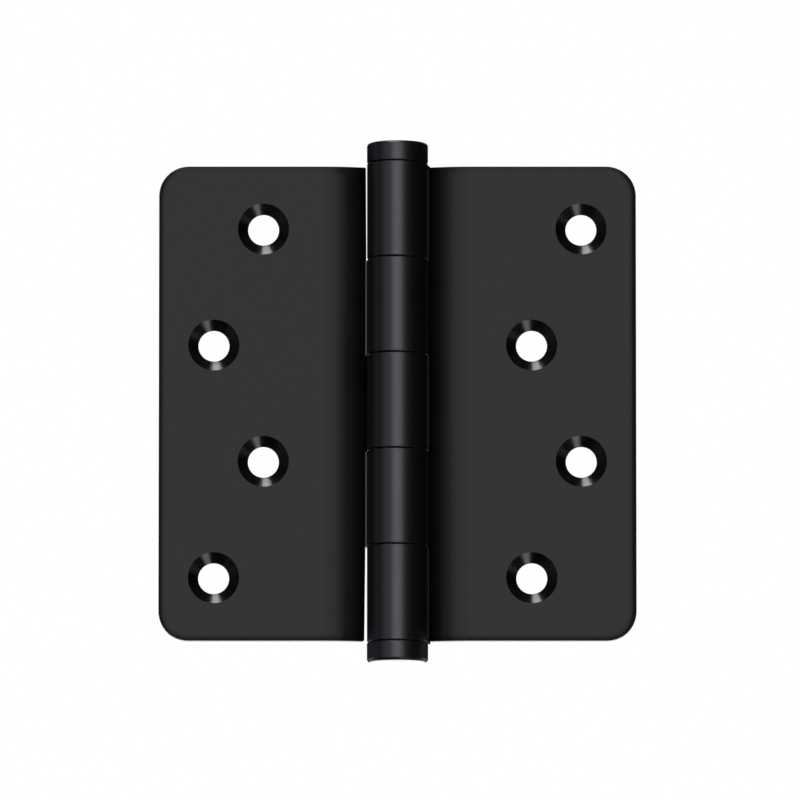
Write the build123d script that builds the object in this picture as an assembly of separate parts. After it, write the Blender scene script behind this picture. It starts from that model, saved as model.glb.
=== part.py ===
from build123d import *
import os
from math import acos, cos, degrees, radians, sin, sqrt, tan

# Five-knuckle butt hinge of stamped sheet, with a loose pin and screw-on button tips.
# Millimetres. The pin axis is Z, and the origin is on it at mid height. The hinge lies
# open flat and is seen from -Y: the jamb leaf reaches to +X and the door leaf to -X.

# Leaves
LEAF_HEIGHT = 101.6
OPEN_WIDTH = 101.6
SHEET = 2.5
CLOSED_GAP = 1.6
CORNER_RADIUS = 6.35
BACK_EDGE_CHAMFER = 0.25

# Front edges, which the stamping rolls over: flat at first and at this angle on the edge itself,
# where the face has dropped this far. The curve takes up most of the slant
EDGE_ROLL_ANGLE = 16.0
EDGE_ROLL_DROP = 0.24
EDGE_ROLL_SHARE = 0.98

# Swage: the bend that brings each leaf forward from the back of the barrel, so that the
# two leaves close with only a small gap
SWAGE_ANGLE = 15.0
SWAGE_RADIUS = 25.0
BEND_ROOM = 0.95

# Barrel: knuckles rolled from the leaves round the pin, standing a little past the leaves' ends
PIN_DIAMETER = 7.9
PIN_CLEARANCE = 0.05
KNUCKLE_COUNT = 5
KNUCKLE_GAP = 0.15
KNUCKLE_CHAMFER = 0.2
BARREL_RISE = 0.45
CURL_SEAM = 0.25

# Notches in each leaf for the other leaf's knuckles. Light shows through the slits at the ends, and
# the line of their edges runs askew, so that the slit at the bottom is the wider one
NOTCH_CLEARANCE = 0.3
END_NOTCH_SLIT = 0.27
END_NOTCH_SKEW = 0.23

# Countersunk screw holes, in a zigzag
HOLE_DIAMETER = 6.6
COUNTERSINK_DIAMETER = 10.9
COUNTERSINK_ANGLE = 90.0
HOLE_COUNT = 4
HOLE_PITCH = 24.9
INNER_HOLE_REACH = 28.55
OUTER_HOLE_REACH = 39.1

# Button tips, each with a stud that screws into an end of the pin
TIP_HEIGHT = 4.2
TIP_EDGE_CHAMFER = 0.4
TIP_SEAT_GAP = 0.1
STUD_DIAMETER = 5.0
STUD_LENGTH = 8.0
STUD_CLEARANCE = 0.05
STUD_CHAMFER = 0.5
TAP_RUNOUT = 2.0
TAP_CHAMFER = 0.3
PIN_CHAMFER = 0.4

# How a cylinder stands on the plane that it is placed by
ABOVE = (Align.CENTER, Align.CENTER, Align.MIN)
BELOW = (Align.CENTER, Align.CENTER, Align.MAX)

# Barrel sizes that follow
bore_radius = PIN_DIAMETER / 2 + PIN_CLEARANCE
barrel_radius = bore_radius + SHEET
curl_radius = bore_radius + SHEET / 2
barrel_length = LEAF_HEIGHT + 2 * BARREL_RISE
knuckle_pitch = barrel_length / KNUCKLE_COUNT

# The leaf's face and the middle of its sheet lie this far behind the pin axis
face_y = CLOSED_GAP / 2
middle_y = face_y + SHEET / 2

# The rolled edge as a slant, and the radius of the curve that leads into it
roll_angle = radians(EDGE_ROLL_ANGLE)
roll_width = EDGE_ROLL_DROP / tan(roll_angle)
roll_radius = EDGE_ROLL_SHARE * EDGE_ROLL_DROP / (sin(roll_angle) * tan(roll_angle / 2))

# Along the swaged slope, outwards, and square to it, backwards
swage = radians(SWAGE_ANGLE)
slope_out = Vector(cos(swage), -sin(swage))
slope_back = Vector(sin(swage), cos(swage))

# A notch edge is cut square to the sheet, and its nearest corner clears the knuckles
notch_run = sqrt((barrel_radius + NOTCH_CLEARANCE) ** 2 - bore_radius ** 2)


def slope_point(run):
    """The point of the sheet's middle line that lies run out from the pin along the slope."""
    return slope_back * curl_radius + slope_out * run


def leaf_profile():
    """The flat leaf and its swage bend, from the outer edge to the notch edge."""
    corner_run = (slope_point(0).Y - middle_y) / sin(swage)
    room = BEND_ROOM * (corner_run - notch_run) / tan(swage / 2)
    path = FilletPolyline(
        (OPEN_WIDTH / 2, middle_y),
        slope_point(corner_run),
        slope_point(notch_run),
        radius=min(SWAGE_RADIUS, room),
    )
    return trace(path, SHEET)


def knuckle_profile():
    """The sheet from the notch edge on: down the slope and round the pin, back to its own face."""
    tangent_angle = 90 - SWAGE_ANGLE
    lip_angle = tangent_angle - degrees(acos((bore_radius - CURL_SEAM) / barrel_radius))
    slope = Line(slope_point(notch_run), slope_point(0))
    curl = JernArc(slope_point(0), -slope_out, curl_radius, 360 - tangent_angle + lip_angle)
    return trace(slope + curl, SHEET)


def knuckle(index):
    """One rolled knuckle, counted from the top, with its round edges broken."""
    top = barrel_length / 2 - index * knuckle_pitch
    bottom = top - knuckle_pitch
    if index > 0:
        top -= KNUCKLE_GAP / 2
    if index < KNUCKLE_COUNT - 1:
        bottom += KNUCKLE_GAP / 2
    tube = Pos(0, 0, bottom) * extrude(knuckle_profile(), top - bottom)
    outer_edges = tube.edges().filter_by(GeomType.CIRCLE).group_by(SortBy.RADIUS)[-1]
    return chamfer(outer_edges, KNUCKLE_CHAMFER)


def end_notch_run(z):
    """How far out along the slope the edge of the end notches lies at height z."""
    slit = END_NOTCH_SLIT + (LEAF_HEIGHT / 2 - z) * tan(radians(END_NOTCH_SKEW))
    return (barrel_radius + slit - bore_radius * sin(swage)) / cos(swage)


def end_notch(end):
    """Cutter for the notch at an end of a leaf, the top (1) or the bottom (-1)."""
    inner = end * (barrel_length / 2 - knuckle_pitch - KNUCKLE_GAP / 2)
    outer = end * (LEAF_HEIGHT / 2 + knuckle_pitch)
    outline = Polygon(
        (0, inner),
        (end_notch_run(inner), inner),
        (end_notch_run(outer), outer),
        (0, outer),
        align=None,
    )
    sheet_plane = Plane((0, 0, 0), x_dir=slope_out, z_dir=-slope_back)
    return extrude(sheet_plane * outline, 2 * barrel_radius, both=True)


def leaf_plate(ends_notched):
    """The leaf without its knuckles: round corners, rolled front edges, lightly broken back edges."""
    plate = extrude(leaf_profile(), LEAF_HEIGHT / 2, both=True)
    corners = plate.edges().filter_by(Axis.Y).group_by(Axis.X)[-1]
    plate = fillet(corners, CORNER_RADIUS)
    outer_edge = plate.edges().filter_by(Axis.Z).group_by(Axis.X)[-1].sort_by(Axis.Y)[0]
    face = plate.faces().filter_by(Axis.Y).sort_by(Axis.Y)[0]
    plate = chamfer(outer_edge, roll_width, EDGE_ROLL_DROP, reference=face)
    slant_edge = plate.edges().filter_by(Axis.Z).group_by(Axis.Y)[0].sort_by(Axis.X)[-1]
    plate = fillet(slant_edge, roll_radius)
    back_edge = plate.edges().filter_by(Axis.Z).group_by(Axis.X)[-1].sort_by(Axis.Y)[-1]
    plate = chamfer(back_edge, BACK_EDGE_CHAMFER)
    if ends_notched:
        plate = plate - end_notch(1) - end_notch(-1)
    return plate


def screw_holes(top_reach, next_reach):
    """Cutters for a leaf's countersunk holes, from the top down, at two reaches in turn."""
    cutter = CounterSinkHole(
        HOLE_DIAMETER / 2,
        COUNTERSINK_DIAMETER / 2,
        2 * SHEET,
        COUNTERSINK_ANGLE,
    )
    facing_front = Rot(90, 0, 0) * cutter
    top = HOLE_PITCH * (HOLE_COUNT - 1) / 2
    reaches = [top_reach, next_reach]
    return [
        Pos(reaches[i % 2], face_y, top - i * HOLE_PITCH) * facing_front
        for i in range(HOLE_COUNT)
    ]


def leaf(first_knuckle, top_reach, next_reach):
    """A whole leaf on the +X side that owns every second knuckle from first_knuckle down."""
    solid = leaf_plate(ends_notched=first_knuckle > 0)
    for index in range(first_knuckle, KNUCKLE_COUNT, 2):
        solid += knuckle(index)
    for hole in screw_holes(top_reach, next_reach):
        solid -= hole
    return solid


def hinge_pin():
    """The loose pin, tapped at both ends and long enough to hold the tips off the barrel."""
    length = barrel_length + 2 * TIP_SEAT_GAP
    rod = Cylinder(PIN_DIAMETER / 2, length)
    rod = chamfer(rod.edges().filter_by(GeomType.CIRCLE), PIN_CHAMFER)
    tapped_radius = STUD_DIAMETER / 2 + STUD_CLEARANCE
    tapped_hole = Cylinder(tapped_radius, STUD_LENGTH + TAP_RUNOUT, align=BELOW)
    tapped_hole += Cone(tapped_radius, tapped_radius + TAP_CHAMFER, TAP_CHAMFER, align=BELOW)
    tapped_hole = Pos(0, 0, length / 2) * tapped_hole
    return rod - tapped_hole - mirror(tapped_hole, about=Plane.XY)


def top_tip():
    """A flat button as wide as the barrel, with its stud, seated on the top end of the pin."""
    button = Cylinder(barrel_radius, TIP_HEIGHT, align=ABOVE)
    button = chamfer(button.edges().filter_by(GeomType.CIRCLE).sort_by(Axis.Z)[-1], TIP_EDGE_CHAMFER)
    button = chamfer(button.edges().filter_by(GeomType.CIRCLE).sort_by(Axis.Z)[0], KNUCKLE_CHAMFER)
    stud = Cylinder(STUD_DIAMETER / 2, STUD_LENGTH, align=BELOW)
    stud = chamfer(stud.edges().filter_by(GeomType.CIRCLE).sort_by(Axis.Z)[0], STUD_CHAMFER)
    return Pos(0, 0, barrel_length / 2 + TIP_SEAT_GAP) * (button + stud)


nodes = {
    "jamb_leaf": leaf(0, OUTER_HOLE_REACH, INNER_HOLE_REACH),
    "door_leaf": mirror(leaf(1, INNER_HOLE_REACH, OUTER_HOLE_REACH), about=Plane.YZ),
    "hinge_pin": hinge_pin(),
    "top_tip": top_tip(),
    "bottom_tip": mirror(top_tip(), about=Plane.XY),
}

os.makedirs("parts", exist_ok=True)
for name, solid in nodes.items():
    export_step(solid, f"parts/{name}.step")
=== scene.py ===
import math

import bmesh
import bpy
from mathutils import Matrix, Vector


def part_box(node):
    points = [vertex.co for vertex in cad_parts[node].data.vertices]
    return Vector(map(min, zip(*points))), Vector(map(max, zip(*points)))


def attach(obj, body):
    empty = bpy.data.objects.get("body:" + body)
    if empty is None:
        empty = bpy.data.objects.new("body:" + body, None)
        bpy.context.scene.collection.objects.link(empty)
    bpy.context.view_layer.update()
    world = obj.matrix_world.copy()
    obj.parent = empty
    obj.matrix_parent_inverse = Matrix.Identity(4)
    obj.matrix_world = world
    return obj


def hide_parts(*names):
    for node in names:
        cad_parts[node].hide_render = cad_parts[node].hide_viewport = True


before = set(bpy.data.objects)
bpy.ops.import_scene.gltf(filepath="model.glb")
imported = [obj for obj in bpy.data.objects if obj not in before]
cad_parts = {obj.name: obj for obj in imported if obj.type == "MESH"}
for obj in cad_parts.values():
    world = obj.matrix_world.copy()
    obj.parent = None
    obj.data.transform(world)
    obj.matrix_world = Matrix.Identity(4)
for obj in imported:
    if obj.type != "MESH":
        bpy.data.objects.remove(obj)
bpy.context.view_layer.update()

# A black five-knuckle door hinge, open flat. Metres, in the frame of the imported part: the pin axis
# is Z, the origin is on it at mid height, and the countersunk faces look towards -Y.

MM = 0.001
FULL_TURN = 2 * math.pi
WHITE = (1, 1, 1, 1)
UNTINTED = (1, 1, 1)

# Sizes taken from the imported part
tip_low, tip_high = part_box("top_tip")
pin_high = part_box("hinge_pin")[1]
barrel_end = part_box("jamb_leaf")[1].z
leaf_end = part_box("door_leaf")[1].z
barrel_radius = tip_high.x
pin_radius = pin_high.x
pin_end = pin_high.z

# Button tips and the thread that holds each of them in the pin. Crest and root of the thread each lose
# a share of its height to a flat, and the drill's point is a share of the hole's radius deep
TIP_EDGE_RADIUS = 0.7 * MM
TIP_SEAT_CHAMFER = 0.2 * MM
STUD_RADIUS = 2.5 * MM
STUD_CHAMFER = 0.5 * MM
STUD_NECK = 0.8 * MM
NECK_UNDERCUT = 0.05 * MM
THREAD_PITCH = 0.8 * MM
THREAD_DEPTH = 0.4 * MM
THREAD_FLAT = 0.125
THREAD_CLEARANCE = 0.05 * MM
TAP_RUNOUT = 2.0 * MM
TAP_CHAMFER = 0.3 * MM
DRILL_POINT = 0.5
PIN_CHAMFER = 0.4 * MM

# Sheet of the leaves, which slopes back to the barrel, and the paint drawn into the crook where each
# knuckle's curl comes back to it
SHEET = 2.5 * MM
SLOPE = math.radians(15)
KNUCKLES = 5
KNUCKLE_INSET = 0.1 * MM
BEAD_SETBACK = 0.5 * MM
JAMB_BEAD_RADIUS = 0.33 * MM
DOOR_BEAD_RADIUS = 0.48 * MM
BEAD_SINK = 0.3 * MM

# End notches of the door leaf: the slit that the cut leaves beside the barrel, and how far it goes askew
NOTCH_SLIT = 0.27 * MM
NOTCH_SKEW = math.radians(0.23)

# Coating gathered on the cut: where it starts, stands out most and ends, from the leaf's face backwards,
# and the slit that it leaves open, as (z, slit) at the ends of each notch
GATHER_DEPTHS = (0.2 * MM, 0.45 * MM, 1.6 * MM)
TOP_SLIT = ((30.72 * MM, 0.142 * MM), (50.6 * MM, 0.249 * MM))
BOTTOM_SLIT = ((-50.6 * MM, 0.563 * MM), (-30.72 * MM, 0.34 * MM))

# The slope's face lies at the bore's radius from the axis; square to it, backwards, and along it, outwards
bore = barrel_radius - SHEET
back = Vector((math.sin(SLOPE), math.cos(SLOPE)))
out = Vector((math.cos(SLOPE), -math.sin(SLOPE)))

# Fineness of the meshes
TIP_EDGE_STEPS = 8
ROWS_PER_PITCH = 8
TURNED_SEGMENTS = 96
BEAD_STEPS = 8
SHARP_ANGLE = math.radians(35)

# Where a leaf's faces belong: on the barrel's skin, or in the field of the holes, given by its reaches
# from the pin and its height, if they lean more than a flat does
BARREL_SKIN = 0.05 * MM
HOLE_FIELD = (20 * MM, 46 * MM)
HOLE_FIELD_END = 46 * MM
FLAT_NORMAL = 0.9

# Noise hardly leaves this span
NOISE_MIDDLE = (0.3, 0.7)

# Black coating: its two tones, the scales of their drift and of the powder grain, and the tool rings
COATING_TONES = ((0.0004, 0.0005, 0.0007, 1), (0.0008, 0.0010, 0.0013, 1))
COATING_DRIFT = 60.0
COATING_DETAIL = 2.0
ROUGHNESS_DRIFT = 0.02
GRAIN_SCALE = 2400.0
GRAIN_DEPTH = 0.002 * MM
RING_PITCH = 0.22 * MM
RING_DEPTH = 0.055 * MM

# Finishes of the coating, as (specular level, roughness)
FLAT_FINISH = (0.153, 0.25)
BARREL_FINISH = (0.5, 0.36)
COUNTERSINK_FINISH = (0.375, 0.2)
TIP_FACE_FINISH = (0.5, 0.12)

# Painted shade of the crook: the gloss that the flats keep at some distances from the pin axis, darker
# towards the barrel, and the depth that parts a leaf's face and back
CROOK_SHADE_REACHES = (8.0 * MM, 9.8 * MM, 13.8 * MM, 16.0 * MM)
CROOK_SHADE_LEVELS = (0.33, 0.87, 0.87, 1.0)
CROOK_SHADE_DEPTH = 3.0 * MM

# Drawn steel: its two tones, the lines along the pin, the dull patches, and the roughness they give
STEEL_TONES = ((0.40, 0.40, 0.41, 1), (0.56, 0.57, 0.59, 1))
STEEL_LINE_SCALE = (5000.0, 5000.0, 60.0)
STEEL_LINE_DETAIL = 3.0
STEEL_LINE_DEPTH = 0.004 * MM
STEEL_LINE_STRENGTH = 0.2
STEEL_LINE_SHARE = 0.6
STEEL_PATCH_SCALE = 180.0
STEEL_PATCH_DETAIL = 4.0
STEEL_ROUGHNESS = (0.24, 0.42)

# Camera, fitted to the photograph
CAMERA_DISTANCE = 3.0
CAMERA_ELEVATION = math.radians(-6.74)
CAMERA_PITCH = math.radians(6.7506)
CAMERA_SIDE = 0.53 * MM
CAMERA_LENS = 634.6
CAMERA_SENSOR = 36.0
CAMERA_CLIP = (0.01, 50.0)

# Sky as light, and the floor: how pale the camera sees it near the hinge, and where that goes to white
SKY_TINT = (0.95, 0.975, 1, 1)
SKY_STRENGTH = 0.45
FLOOR = -0.4
FLOOR_REACH = 4.0
FLOOR_COLOUR = (0.8, 0.8, 0.8, 1)
FLOOR_PALENESS = 0.6
FLOOR_FADE = (0.5, 0.9 * FLOOR_REACH)

# Upright lamps before and behind the hinge, between two bearings in degrees and two heights
LAMP_DISTANCE = 2.4
KEY_BEARINGS = (-20, 16)
KEY_HEIGHTS = (-0.51, 1.06)
KEY_RADIANCE = 2.24
KEY_TINT = (0.9, 0.935, 1.0)
BACK_BEARINGS = (-8, 8)
BACK_HEIGHTS = (-0.87, 0.87)
BACK_RADIANCE = 0.9

# Level lamps over and under the hinge: (name, span in x, span in y, height, radiance)
LYING_LAMPS = (
    ("overhead", (-0.27, 0.0), (-0.45, 0.05), 0.85, 12.0),
    ("overhead_front", (-0.5, 0.4), (-2.2, -0.9), 0.87, 2.2),
    ("below", (0.135, 0.435), (-0.65, -0.25), -0.85, 4.0),
)

# Cards that show only in the hinge's gloss, upright at a distance or level at a height
FLAG_TINT = (0.82, 0.88, 1.0, 1)
FLAG_HEIGHT = 0.9
FLAG_REACH = 2.2
FLAG_SPLIT = 0.9

# Lighter lower parts of upright cards, for the gloss seen from above: (height of the head, radiance)
SIDE_SKIRT = (-0.42, 0.4)
REAR_SKIRT = (-0.15, 1.0)

# Upright cards: (name, bearing where it starts, bearing where it ends, radiance, skirt)
STANDING_FLAGS = (
    ("flag_right_near", 16, 30, 0.3, None),
    ("flag_right", 30, 100, 0.01, SIDE_SKIRT),
    ("flag_right_rear", 100, 145, 0.01, REAR_SKIRT),
    ("flag_right_back", 145, 172, 0.01, None),
    ("flag_left_edge", -20, -32, 0.15, None),
    ("flag_left_near", -32, -56, 0.95, None),
    ("flag_left_far", -56, -80, 0.1, None),
    ("flag_left_side", -80, -104, 0.3, None),
    ("flag_left_rear", -104, -145, 0.02, REAR_SKIRT),
    ("flag_left_back", -145, -172, 0.02, None),
)

# Level cards: (name, height, radiances in front of the hinge, at it and behind it)
LYING_FLAGS = (
    ("flag_top", FLAG_HEIGHT, (0.3, 0.04, 0.4)),
    ("flag_bottom", -FLAG_HEIGHT, (0.35, 0.03, 1.2)),
)


def node_maker(tree):
    """A short way to add nodes to a tree: new(kind, {input: value or socket}, property=value)."""

    def new(kind, inputs=None, **properties):
        node = tree.nodes.new(kind)
        for name, value in properties.items():
            setattr(node, name, value)
        for key, value in (inputs or {}).items():
            if isinstance(value, bpy.types.NodeSocket):
                tree.links.new(value, node.inputs[key])
            else:
                node.inputs[key].default_value = value
        return node

    def math_node(operation, first, second=0.0):
        return new("ShaderNodeMath", {0: first, 1: second}, operation=operation).outputs[0]

    return new, math_node


def noise(new, place, scale, detail):
    """Smooth noise over a place."""
    return new("ShaderNodeTexNoise", {"Vector": place, "Scale": scale, "Detail": detail}).outputs["Fac"]


def map_range(new, value, source, target):
    """A value carried from one span over to another, and held at its ends."""
    spans = {"From Min": source[0], "From Max": source[1], "To Min": target[0], "To Max": target[1]}
    return new("ShaderNodeMapRange", {"Value": value, **spans}).outputs[0]


def two_tones(new, factor, tones):
    """A colour between two tones, by a noise."""
    ramp = new("ShaderNodeValToRGB", {0: factor})
    for stop, position, tone in zip(ramp.color_ramp.elements, NOISE_MIDDLE, tones):
        stop.position = position
        stop.color = tone
    return ramp.outputs[0]


def empty_material(name):
    """A material whose nodes are still to be added."""
    material = bpy.data.materials.new(name)
    material.use_nodes = True
    material.node_tree.nodes.clear()
    return material


def painted_crook_shade(new, calc, place):
    """Painted shade across a leaf's face: how much of its gloss the coating keeps. It is dimmed in the
    crook beside the barrel, standing in for the shade that falls there."""
    axes = new("ShaderNodeSeparateXYZ", {0: place}).outputs
    start, end = CROOK_SHADE_REACHES[0], CROOK_SHADE_REACHES[-1]
    span = map_range(new, calc("ABSOLUTE", axes["X"]), (start, end), (0.0, 1.0))
    gloss = new("ShaderNodeValToRGB", {0: span})
    stops = gloss.color_ramp.elements
    for reach in CROOK_SHADE_REACHES[1:-1]:
        stops.new((reach - start) / (end - start))
    for stop, level in zip(stops, CROOK_SHADE_LEVELS):
        stop.color = (level, level, level, 1)
    on_back = calc("GREATER_THAN", axes["Y"], CROOK_SHADE_DEPTH)
    return calc("MAXIMUM", gloss.outputs[0], on_back)


def black_paint(name, specular, roughness, ring_depth=0.0, shade_crook=False):
    """Satin black coating with a fine powder grain. It can have tool rings, as in a countersink. It can
    also have painted shade beside the barrel, where its gloss is dimmed, as on a leaf's face."""
    material = empty_material(name)
    new, calc = node_maker(material.node_tree)
    place = new("ShaderNodeTexCoord").outputs["Object"]
    drift = noise(new, place, COATING_DRIFT, COATING_DETAIL)
    tone = two_tones(new, drift, COATING_TONES)
    rough = map_range(new, drift, (0.0, 1.0), (roughness - ROUGHNESS_DRIFT, roughness + ROUGHNESS_DRIFT))
    grain = noise(new, place, GRAIN_SCALE, COATING_DETAIL)
    relief = calc("MULTIPLY", grain, GRAIN_DEPTH)
    if ring_depth:
        depth = new("ShaderNodeSeparateXYZ", {0: place}).outputs["Y"]
        rings = calc("FRACT", calc("DIVIDE", depth, RING_PITCH))
        relief = calc("ADD", relief, calc("MULTIPLY", rings, ring_depth))
    bump = new("ShaderNodeBump", {"Strength": 1.0, "Distance": 1.0, "Height": relief})
    shader = new(
        "ShaderNodeBsdfPrincipled",
        {
            "Base Color": tone,
            "Roughness": rough,
            "Specular IOR Level": specular,
            "Normal": bump.outputs[0],
        },
    )
    # Painted shade: the gloss is dimmed in the crook beside the barrel.
    if shade_crook:
        material.node_tree.links.new(painted_crook_shade(new, calc, place), shader.inputs["Specular Tint"])
    new("ShaderNodeOutputMaterial", {"Surface": shader.outputs[0]})
    return material


def drawn_steel():
    """Bright drawn steel, with fine lines along the pin and faint dull patches."""
    material = empty_material("drawn_steel")
    new, calc = node_maker(material.node_tree)
    place = new("ShaderNodeTexCoord").outputs["Object"]
    stretched = new("ShaderNodeMapping", {"Vector": place, "Scale": STEEL_LINE_SCALE}).outputs[0]
    lines = noise(new, stretched, 1.0, STEEL_LINE_DETAIL)
    patches = noise(new, place, STEEL_PATCH_SCALE, STEEL_PATCH_DETAIL)
    line_part = calc("MULTIPLY", lines, STEEL_LINE_SHARE)
    patch_part = calc("MULTIPLY", patches, 1 - STEEL_LINE_SHARE)
    rough = map_range(new, calc("ADD", line_part, patch_part), NOISE_MIDDLE, STEEL_ROUGHNESS)
    bump = new(
        "ShaderNodeBump",
        {"Strength": STEEL_LINE_STRENGTH, "Distance": STEEL_LINE_DEPTH, "Height": lines},
    )
    shader = new(
        "ShaderNodeBsdfPrincipled",
        {
            "Base Color": two_tones(new, patches, STEEL_TONES),
            "Metallic": 1.0,
            "Roughness": rough,
            "Normal": bump.outputs[0],
        },
    )
    new("ShaderNodeOutputMaterial", {"Surface": shader.outputs[0]})
    return material


# The flats carry painted shade, with their gloss dimmed in the crook beside the barrel.
flat_paint = black_paint("flat_paint", *FLAT_FINISH, shade_crook=True)
paint = black_paint("barrel_paint", *BARREL_FINISH)
countersink_paint = black_paint("countersink_paint", *COUNTERSINK_FINISH, ring_depth=RING_DEPTH)
face_paint = black_paint("tip_face_paint", *TIP_FACE_FINISH)
steel = drawn_steel()


def paint_leaf(node):
    """Gives a leaf its finishes by where its faces lie: flat, round the barrel or in a countersink."""
    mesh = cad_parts[node].data
    mesh.materials.clear()
    for material in (flat_paint, paint, countersink_paint):
        mesh.materials.append(material)
    flat_index, barrel_index, countersink_index = 0, 1, 2
    for face in mesh.polygons:
        x, y, z = face.center
        in_hole_field = HOLE_FIELD[0] < abs(x) < HOLE_FIELD[1] and abs(z) < HOLE_FIELD_END
        if math.hypot(x, y) < barrel_radius + BARREL_SKIN:
            face.material_index = barrel_index
        elif in_hole_field and abs(face.normal.y) < FLAT_NORMAL:
            face.material_index = countersink_index
        else:
            face.material_index = flat_index


def finished_piece(name, bm, materials):
    """The piece that a mesh under construction makes, with its normals outwards and its edges sharp."""
    bmesh.ops.recalc_face_normals(bm, faces=bm.faces)
    mesh = bpy.data.meshes.new(name)
    bm.to_mesh(mesh)
    bm.free()
    mesh.set_sharp_from_angle(angle=SHARP_ANGLE)
    for material in materials:
        mesh.materials.append(material)
    piece = bpy.data.objects.new(name, mesh)
    bpy.context.scene.collection.objects.link(piece)
    return piece


def thread_crest(angle, z):
    """1 on the crest of a right-hand thread and 0 at its root, with both a little flat."""
    phase = (z / THREAD_PITCH - angle / FULL_TURN) % 1.0
    ramp = 1 - abs(2 * phase - 1)
    return min(1.0, max(0.0, (ramp - THREAD_FLAT) / (1 - 2 * THREAD_FLAT)))


def arc_points(centre_r, centre_z, radius, start, end, steps):
    """Profile points round an arc, with angles in degrees from outwards towards the top."""
    points = []
    for i in range(steps + 1):
        angle = math.radians(start + (end - start) * i / steps)
        points.append((centre_r + radius * math.cos(angle), centre_z + radius * math.sin(angle)))
    return points


def turned_piece(name, profile, materials):
    """A solid of revolution about Z. Each profile row is (radius, z, thread depth, material index of
    the band that follows); a radius of zero closes an end in one point."""
    bm = bmesh.new()
    rings = []
    for radius, z, depth, _ in profile:
        if radius == 0:
            rings.append([bm.verts.new((0, 0, z))])
            continue
        ring = []
        for i in range(TURNED_SEGMENTS):
            angle = FULL_TURN * i / TURNED_SEGMENTS
            r = radius - depth * (1 - thread_crest(angle, z))
            ring.append(bm.verts.new((r * math.cos(angle), r * math.sin(angle), z)))
        rings.append(ring)
    for first, second, row in zip(rings, rings[1:], profile):
        for i in range(TURNED_SEGMENTS):
            corners = [
                first[i % len(first)],
                first[(i + 1) % len(first)],
                second[(i + 1) % len(second)],
                second[i % len(second)],
            ]
            face = bm.faces.new(list(dict.fromkeys(corners)))
            face.material_index = row[-1]
            face.smooth = True
    return finished_piece(name, bm, materials)


def thread_rows(start, end, radius, fade_in, index):
    """Profile rows of a thread from start to end, with its depth growing over a first stretch."""
    length = abs(end - start)
    steps = math.ceil(length / THREAD_PITCH * ROWS_PER_PITCH)
    rows = []
    for i in range(steps + 1):
        run = length * i / steps
        fade = min(1.0, run / fade_in) if fade_in else 1.0
        rows.append((radius, start + (end - start) * i / steps, THREAD_DEPTH * fade, index))
    return rows


def tip(name, sign):
    """A button tip with a rounded edge and a threaded stud, at the top (sign 1) or the bottom (-1)."""
    seat, top = pin_end, tip_high.z
    stud_end = tip_low.z
    paint_index, steel_index, face_index = 0, 1, 2
    edge = TIP_EDGE_RADIUS
    outline = arc_points(barrel_radius - edge, top - edge, edge, 90, 0, TIP_EDGE_STEPS)
    outline += [(barrel_radius, seat + TIP_SEAT_CHAMFER), (barrel_radius - TIP_SEAT_CHAMFER, seat)]
    rows = [(0.0, top, 0.0, face_index)]
    rows += [(r, z, 0.0, paint_index) for r, z in outline]
    neck = STUD_RADIUS - THREAD_DEPTH - NECK_UNDERCUT
    rows += [(neck, seat, 0.0, steel_index), (neck, seat - STUD_NECK, 0.0, steel_index)]
    rows += thread_rows(seat - STUD_NECK, stud_end + STUD_CHAMFER, STUD_RADIUS, 0, steel_index)
    rows += [(STUD_RADIUS - STUD_CHAMFER, stud_end, 0.0, steel_index), (0.0, stud_end, 0.0, steel_index)]
    rows = [(r, sign * z, depth, index) for r, z, depth, index in rows]
    return turned_piece(name, rows, [paint, steel, face_paint])


def pin():
    """The pin with broken ends and a tapped hole in each of them."""
    hole_radius = STUD_RADIUS + THREAD_CLEARANCE
    hole_bottom = tip_low.z - TAP_RUNOUT
    thread_end = hole_bottom + THREAD_PITCH
    half = [(0.0, hole_bottom - hole_radius * DRILL_POINT, 0.0, 0)]
    half += [(hole_radius - THREAD_DEPTH, hole_bottom, 0.0, 0)]
    half += thread_rows(thread_end, pin_end - TAP_CHAMFER, hole_radius, THREAD_PITCH, 0)
    half += [(hole_radius + TAP_CHAMFER, pin_end, 0.0, 0)]
    half += [(pin_radius - PIN_CHAMFER, pin_end, 0.0, 0), (pin_radius, pin_end - PIN_CHAMFER, 0.0, 0)]
    mirrored = [(r, -z, depth, index) for r, z, depth, index in reversed(half)]
    return turned_piece("hinge_pin_turned", half + mirrored, [steel])


def strip_piece(name, strips, side):
    """Closed strips along the pin, each drawn from one outline and height to another, on a side of it."""
    bm = bmesh.new()
    for strip in strips:
        loops = []
        for outline, z in strip:
            loops.append([bm.verts.new((side * point.x, point.y, z)) for point in outline])
        bottom, top = loops
        for i in range(len(bottom)):
            j = (i + 1) % len(bottom)
            bm.faces.new((bottom[i], bottom[j], top[j], top[i])).smooth = True
        bm.faces.new(bottom)
        bm.faces.new(top)
    return finished_piece(name, bm, [paint])


def bead_section(radius):
    """The outline of a bead across the sheet. The slope's face lies on a line at the bore's radius from
    the axis; the bead's hollow face touches it and the barrel, and the rest is sunk in the steel."""
    height = bore - radius
    centre = back * height + out * math.sqrt((barrel_radius + radius) ** 2 - height ** 2)
    corner = back * bore + out * math.sqrt(barrel_radius ** 2 - bore ** 2)
    start = math.atan2(-centre.y, -centre.x)
    end = math.atan2(back.y, back.x)
    turn = (end - start + math.pi) % FULL_TURN - math.pi
    outline = []
    for i in range(BEAD_STEPS + 1):
        angle = start + turn * i / BEAD_STEPS
        outline.append(centre + Vector((math.cos(angle), math.sin(angle))) * radius)
    barrel_start, slope_end = outline[0], outline[-1]
    outline.append(slope_end + back * BEAD_SINK)
    outline.append(corner + back * BEAD_SINK - out * BEAD_SINK)
    outline.append(barrel_start * (1 - BEAD_SINK / barrel_radius))
    return outline


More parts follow.
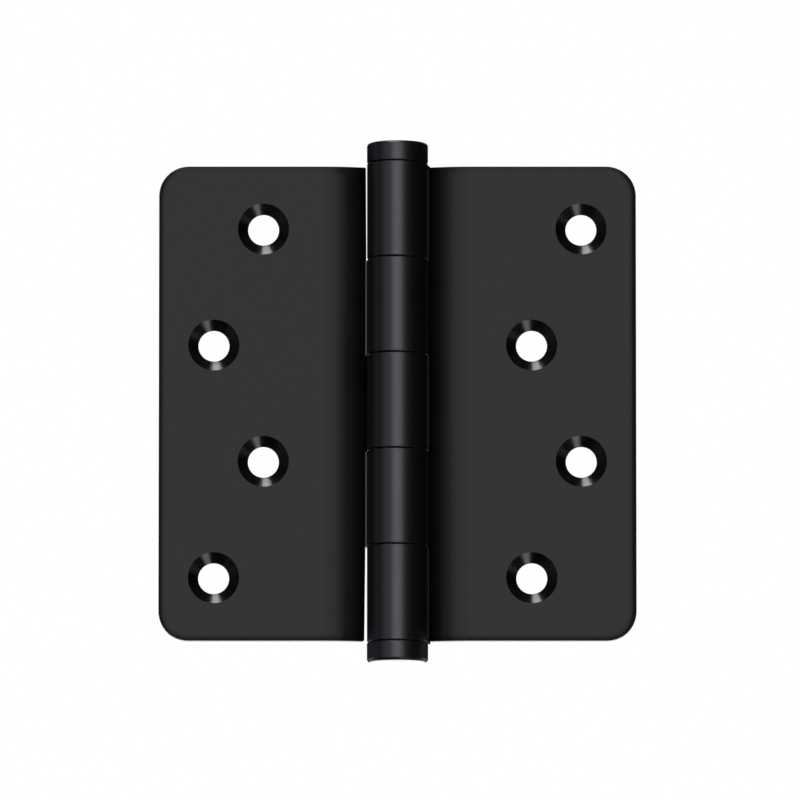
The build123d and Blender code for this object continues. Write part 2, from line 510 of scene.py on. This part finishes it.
def seam_beads(name, knuckles, side, radius):
    """Beads of paint in the crooks of one leaf's knuckles, on the side its sheet leaves the barrel."""
    outline = bead_section(radius)
    pitch = 2 * barrel_end / KNUCKLES
    bead_end = leaf_end - BEAD_SETBACK
    strips = []
    for knuckle in knuckles:
        low = max(-bead_end, -barrel_end + knuckle * pitch + KNUCKLE_INSET)
        high = min(bead_end, -barrel_end + (knuckle + 1) * pitch - KNUCKLE_INSET)
        strips.append([(outline, low), (outline, high)])
    return strip_piece(name, strips, side)


def slope_run(slit, depth):
    """How far out along the slope a point lies that leaves a slit beside the barrel, at a depth behind
    the leaf's face."""
    return (barrel_radius + slit - (bore + depth) * math.sin(SLOPE)) / math.cos(SLOPE)


def notch_section(z, slit):
    """The outline of the coating gathered on the cut edge of an end notch, across the sheet."""
    start, crest, end = GATHER_DEPTHS
    cut = slope_run(NOTCH_SLIT + (leaf_end - z) * math.tan(NOTCH_SKEW), 0)
    nose = slope_run(slit, crest)
    outline = []
    for i in range(2 * BEAD_STEPS + 1):
        angle = math.pi / 2 * (i / BEAD_STEPS - 1)
        span = crest - start if angle < 0 else end - crest
        depth = crest + span * math.sin(angle)
        outline.append(back * (bore + depth) + out * (cut - (cut - nose) * math.cos(angle)))
    outline.append(back * (bore + end) + out * (cut + BEAD_SINK))
    outline.append(back * (bore + start) + out * (cut + BEAD_SINK))
    return outline


def notch_beads(name):
    """The coating gathered on the cuts of the door leaf's end notches."""
    strips = [[(notch_section(z, slit), z) for z, slit in ends] for ends in (BOTTOM_SLIT, TOP_SLIT)]
    return strip_piece(name, strips, -1)


for node in ("jamb_leaf", "door_leaf"):
    paint_leaf(node)

for name, node, sign in (("top_tip_button", "top_tip", 1), ("bottom_tip_button", "bottom_tip", -1)):
    piece = tip(name, sign)
    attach(piece, node)
    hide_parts(node)

for name, node, knuckles, side, radius in (
    ("jamb_seam_beads", "jamb_leaf", range(0, KNUCKLES, 2), 1, JAMB_BEAD_RADIUS),
    ("door_seam_beads", "door_leaf", range(1, KNUCKLES, 2), -1, DOOR_BEAD_RADIUS),
):
    piece = seam_beads(name, knuckles, side, radius)
    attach(piece, node)

piece = notch_beads("door_notch_beads")
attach(piece, "door_leaf")

pin_piece = pin()
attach(pin_piece, "pin")
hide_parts("hinge_pin")


def white_world():
    """White behind the hinge and in what its metal shows; a plain grey sky as light."""
    world = bpy.data.worlds.new("studio")
    world.use_nodes = True
    world.node_tree.nodes.clear()
    new, calc = node_maker(world.node_tree)
    ray = new("ShaderNodeLightPath").outputs
    seen = calc("MAXIMUM", ray["Is Camera Ray"], ray["Is Glossy Ray"])
    seen = calc("MAXIMUM", seen, ray["Is Transmission Ray"])
    light = new("ShaderNodeBackground", {"Color": SKY_TINT, "Strength": SKY_STRENGTH})
    white = new("ShaderNodeBackground", {"Color": WHITE, "Strength": 1.0})
    mixed = new("ShaderNodeMixShader", {0: seen, 1: light.outputs[0], 2: white.outputs[0]})
    new("ShaderNodeOutputWorld", {"Surface": mixed.outputs[0]})
    bpy.context.scene.world = world


def camera():
    """The photograph's view: a long lens, a little below the hinge and tilted up at it."""
    data = bpy.data.cameras.new("camera")
    data.lens = CAMERA_LENS
    data.sensor_width = CAMERA_SENSOR
    data.clip_start, data.clip_end = CAMERA_CLIP
    view = bpy.data.objects.new("camera", data)
    view.location = (
        CAMERA_SIDE,
        -CAMERA_DISTANCE * math.cos(CAMERA_ELEVATION),
        CAMERA_DISTANCE * math.sin(CAMERA_ELEVATION),
    )
    view.rotation_euler = (math.radians(90) + CAMERA_PITCH, 0, 0)
    bpy.context.scene.collection.objects.link(view)
    bpy.context.scene.camera = view


def area_lamp(name, place, aim, width, height, radiance, tint):
    """A soft box of the given size and radiance that looks at a point."""
    lamp = bpy.data.lights.new(name, "AREA")
    lamp.shape = "RECTANGLE"
    lamp.size = width
    lamp.size_y = height
    lamp.energy = math.pi * width * height * radiance
    lamp.color = tint
    box = bpy.data.objects.new(name, lamp)
    box.location = place
    box.rotation_euler = (Vector(aim) - Vector(place)).to_track_quat("-Z", "Y").to_euler()
    box.visible_camera = False
    bpy.context.scene.collection.objects.link(box)


def standing_lamp(name, facing, bearings, heights, radiance, tint):
    """A tall soft box in front of the hinge (facing -1) or behind it (1), between two bearings."""
    left, right = (LAMP_DISTANCE * math.tan(math.radians(angle)) for angle in bearings)
    low, high = heights
    x, z = (left + right) / 2, (low + high) / 2
    area_lamp(name, (x, facing * LAMP_DISTANCE, z), (x, 0, z), right - left, high - low, radiance, tint)


def lying_lamp(name, x_span, y_span, z, radiance):
    """A level soft box over or under the hinge."""
    (left, right), (near, far) = x_span, y_span
    x, y = (left + right) / 2, (near + far) / 2
    area_lamp(name, (x, y, z), (x, y, 0), right - left, far - near, radiance, UNTINTED)


def flat_panel(name, corners, material):
    """A four-cornered stage panel."""
    mesh = bpy.data.meshes.new(name)
    mesh.from_pydata(corners, [], [(0, 1, 2, 3)])
    mesh.materials.append(material)
    panel = bpy.data.objects.new(name, mesh)
    bpy.context.scene.collection.objects.link(panel)
    return panel


def floor():
    """A plain floor that keeps the shadow. The camera sees it paler than its light alone makes it, and
    white far from the hinge, where it meets the background. From below it is clear."""
    material = empty_material("floor")
    new, calc = node_maker(material.node_tree)
    lit = new("ShaderNodeBsdfDiffuse", {"Color": FLOOR_COLOUR})
    pale = new("ShaderNodeEmission", {"Color": WHITE, "Strength": 1.0})
    place = new("ShaderNodeTexCoord").outputs["Object"]
    reach = new("ShaderNodeVectorMath", {0: place}, operation="LENGTH").outputs["Value"]
    paleness = map_range(new, reach, FLOOR_FADE, (FLOOR_PALENESS, 1.0))
    share = calc("MULTIPLY", new("ShaderNodeLightPath").outputs["Is Camera Ray"], paleness)
    mixed = new("ShaderNodeMixShader", {0: share, 1: lit.outputs[0], 2: pale.outputs[0]})
    underside = new("ShaderNodeNewGeometry").outputs["Backfacing"]
    clear = new("ShaderNodeBsdfTransparent")
    one_sided = new("ShaderNodeMixShader", {0: underside, 1: mixed.outputs[0], 2: clear.outputs[0]})
    new("ShaderNodeOutputMaterial", {"Surface": one_sided.outputs[0]})
    r = FLOOR_REACH
    corners = [(-r, -r, FLOOR), (r, -r, FLOOR), (r, r, FLOOR), (-r, r, FLOOR)]
    panel = flat_panel("floor", corners, material)
    panel.visible_glossy = False
    panel.visible_shadow = False


def bearing(angle, distance, z):
    """A point in the studio: the angle from straight in front of the hinge, to the right, in degrees."""
    turn = math.radians(angle)
    return (distance * math.sin(turn), -distance * math.cos(turn), z)


def flag(name, corners, radiance):
    """A card that shows only in the hinge's gloss."""
    material = empty_material(name)
    new, _ = node_maker(material.node_tree)
    shader = new("ShaderNodeEmission", {"Color": FLAG_TINT, "Strength": radiance})
    new("ShaderNodeOutputMaterial", {"Surface": shader.outputs[0]})
    panel = flat_panel(name, corners, material)
    panel.visible_camera = False
    panel.visible_diffuse = False
    panel.visible_transmission = False
    panel.visible_shadow = False
    panel.visible_volume_scatter = False


def standing_flag(name, start, end, radiance, foot=-FLAG_HEIGHT, head=FLAG_HEIGHT):
    """An upright card from one bearing to another."""
    corners = [bearing(start, FLAG_REACH, foot), bearing(end, FLAG_REACH, foot)]
    corners += [bearing(end, FLAG_REACH, head), bearing(start, FLAG_REACH, head)]
    flag(name, corners, radiance)


def lying_flags(name, z, radiances):
    """Level cards over or under the hinge: in front of it, at it and behind it."""
    r = FLAG_REACH
    edges = (-r, -FLAG_SPLIT, FLAG_SPLIT, r)
    for place, near, far, radiance in zip(("front", "middle", "back"), edges, edges[1:], radiances):
        flag(f"{name}_{place}", [(-r, near, z), (r, near, z), (r, far, z), (-r, far, z)], radiance)


def flags():
    """Cards round the hinge that leave the two upright lamps' windows open."""
    for name, start, end, radiance, skirt in STANDING_FLAGS:
        if skirt is None:
            standing_flag(name, start, end, radiance)
        else:
            skirt_head, skirt_radiance = skirt
            standing_flag(name, start, end, radiance, foot=skirt_head)
            standing_flag(f"{name}_skirt", start, end, skirt_radiance, head=skirt_head)
    for card in LYING_FLAGS:
        lying_flags(*card)


white_world()
camera()
standing_lamp("key", -1, KEY_BEARINGS, KEY_HEIGHTS, KEY_RADIANCE, KEY_TINT)
standing_lamp("back", 1, BACK_BEARINGS, BACK_HEIGHTS, BACK_RADIANCE, UNTINTED)
for lamp in LYING_LAMPS:
    lying_lamp(*lamp)
floor()
flags()

bpy.context.scene.view_settings.view_transform = "Standard"
